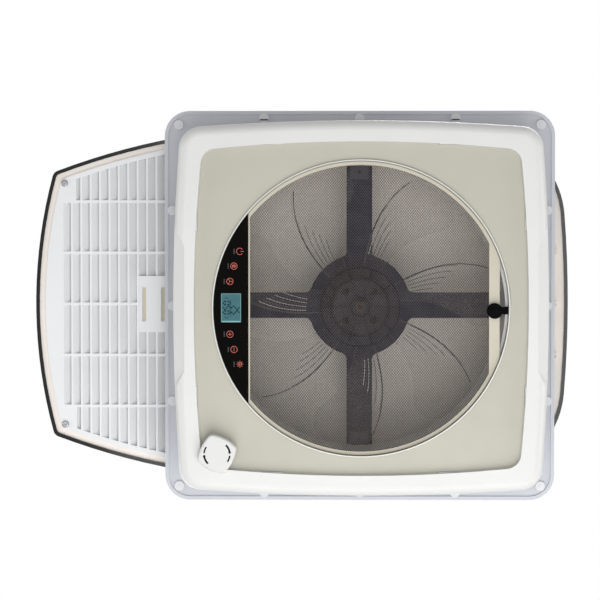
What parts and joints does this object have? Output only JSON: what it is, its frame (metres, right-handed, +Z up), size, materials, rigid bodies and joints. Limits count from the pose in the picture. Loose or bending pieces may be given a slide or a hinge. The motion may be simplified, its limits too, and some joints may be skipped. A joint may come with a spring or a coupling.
{
  "type": "caravan roof vent",
  "caption": "Roof vent for a caravan: ducted fan behind a fly screen, touch panel, ceiling trim and a hand-cranked lifting lid with a louvred rear overhang.",
  "frame": {"origin": "centre of the roof flange's underside, where it meets the roof", "axes": "+Z up through the roof to the sky, +X along the lid to its hinge, -X to the louvred overhang"},
  "size_m": [0.5859, 0.42, 0.1985],
  "materials": {
    "base_plastic": "satin, slightly translucent bluish white",
    "trim_white": "smooth satin white",
    "plate_beige": "fine satin beige",
    "frame_cream": "satin cream",
    "mesh_dark": "fine coated fibre mesh",
    "catch_black": "satin black",
    "panel_black": "gloss black touch panel",
    "lcd_teal": "lit liquid crystal window",
    "housing_black": "matte black",
    "board_green": "coated circuit board",
    "shroud_white": "satin white",
    "bracket_navy": "matte moulded nylon",
    "screw_steel": "zinc-plated",
    "screw_black": "black-coated steel",
    "bush_brass": "sintered bronze",
    "motor_metal": "dark painted steel can",
    "blade_smoke": "smoke-tinted translucent",
    "lid_black": "gloss smoked black",
    "lid_cream": "satin cream",
    "grille_white": "satin white",
    "rubber_black": "soft rubber",
    "arm_steel": "zinc-plated",
    "gearbox_grey": "glass-filled nylon",
    "acetal_white": "acetal",
    "knob_white": "smooth satin white"
  },
  "bodies": {
    "roof_frame": {"roof_base": "base_plastic", "spigot_sleeve": "base_plastic", "face_plate": "plate_beige", "ceiling_trim": "trim_white", "screen_frame": "frame_cream", "insect_screen": "mesh_dark", "control_fascia": "panel_black", "lcd_display": "lcd_teal", "control_housing": "housing_black", "control_board": "board_green", "power_terminal": "housing_black", "cable_grommet": "rubber_black", "fan_shroud": "shroud_white", "motor_bracket": "bracket_navy", "motor_screws": "screw_black", "bracket_screws": "screw_black", "motor_bush": "bush_brass", "motor_can": "motor_metal", "hinge_brackets": "arm_steel", "hinge_pins": "screw_steel", "hinge_screws": "screw_steel", "lift_gearbox": "gearbox_grey", "pivot_bracket": "gearbox_grey", "corner_gearbox": "gearbox_grey"},
    "impeller": {"fan_impeller": "blade_smoke", "motor_shaft": "screw_black", "shaft_nut": "bush_brass"},
    "lid": {"lid_shell": "lid_black", "lid_liner": "lid_cream", "lid_pan": "lid_cream", "lid_seal": "rubber_black", "discharge_grille": "grille_white", "grille_screws": "screw_steel", "hinge_lugs": "lid_cream", "arm_tracks": "acetal_white"},
    "drive_arm": {"drive_arm": "arm_steel", "drive_arm_shaft": "screw_steel", "drive_arm_roller": "acetal_white"},
    "stay_arm": {"stay_arm": "arm_steel", "stay_arm_pin": "screw_steel", "stay_arm_roller": "acetal_white"},
    "hand_knob": {"lid_knob": "knob_white", "knob_shaft": "screw_steel"},
    "drive_rod": {"drive_rod": "screw_steel"},
    "catch": {"screen_catch": "catch_black"}
  },
  "joints": [
    {"name": "fan_spin", "type": "hinge", "parent": "roof_frame", "child": "impeller", "pos_m": [0, 0, 0], "axis": [0, 0, 1], "continuous": true},
    {"name": "lid_hinge", "type": "hinge", "parent": "roof_frame", "child": "lid", "pos_m": [0.196, 0, 0.03], "axis": [0, 1, 0], "range_deg": [0, 20]},
    {"name": "drive_arm_pivot", "type": "hinge", "parent": "roof_frame", "child": "drive_arm", "pos_m": [0.051, 0, 0.03], "axis": [0, 1, 0], "range_deg": [0, 40]},
    {"name": "stay_arm_pivot", "type": "hinge", "parent": "roof_frame", "child": "stay_arm", "pos_m": [0.051, 0, 0.03], "axis": [0, 1, 0], "range_deg": [0, 40]},
    {"name": "rod_turn", "type": "hinge", "parent": "roof_frame", "child": "drive_rod", "pos_m": [0, 0.16, -0.02], "axis": [1, 0, 0], "range_deg": [0, 800]},
    {"name": "knob_turn", "type": "hinge", "parent": "roof_frame", "child": "hand_knob", "pos_m": [-0.15, 0.1506, 0], "axis": [0, 0, 1], "range_deg": [0, 800]},
    {"name": "catch_turn", "type": "hinge", "parent": "roof_frame", "child": "catch", "pos_m": [0.1399, 0.0024, 0], "axis": [0, 0, 1], "range_deg": [0, 90]}
  ],
  "couplings": [
    {"joint": "drive_arm_pivot", "follows": "lid_hinge", "ratio": 2},
    {"joint": "stay_arm_pivot", "follows": "lid_hinge", "ratio": 2},
    {"joint": "rod_turn", "follows": "lid_hinge", "ratio": 40},
    {"joint": "knob_turn", "follows": "lid_hinge", "ratio": 40}
  ]
}
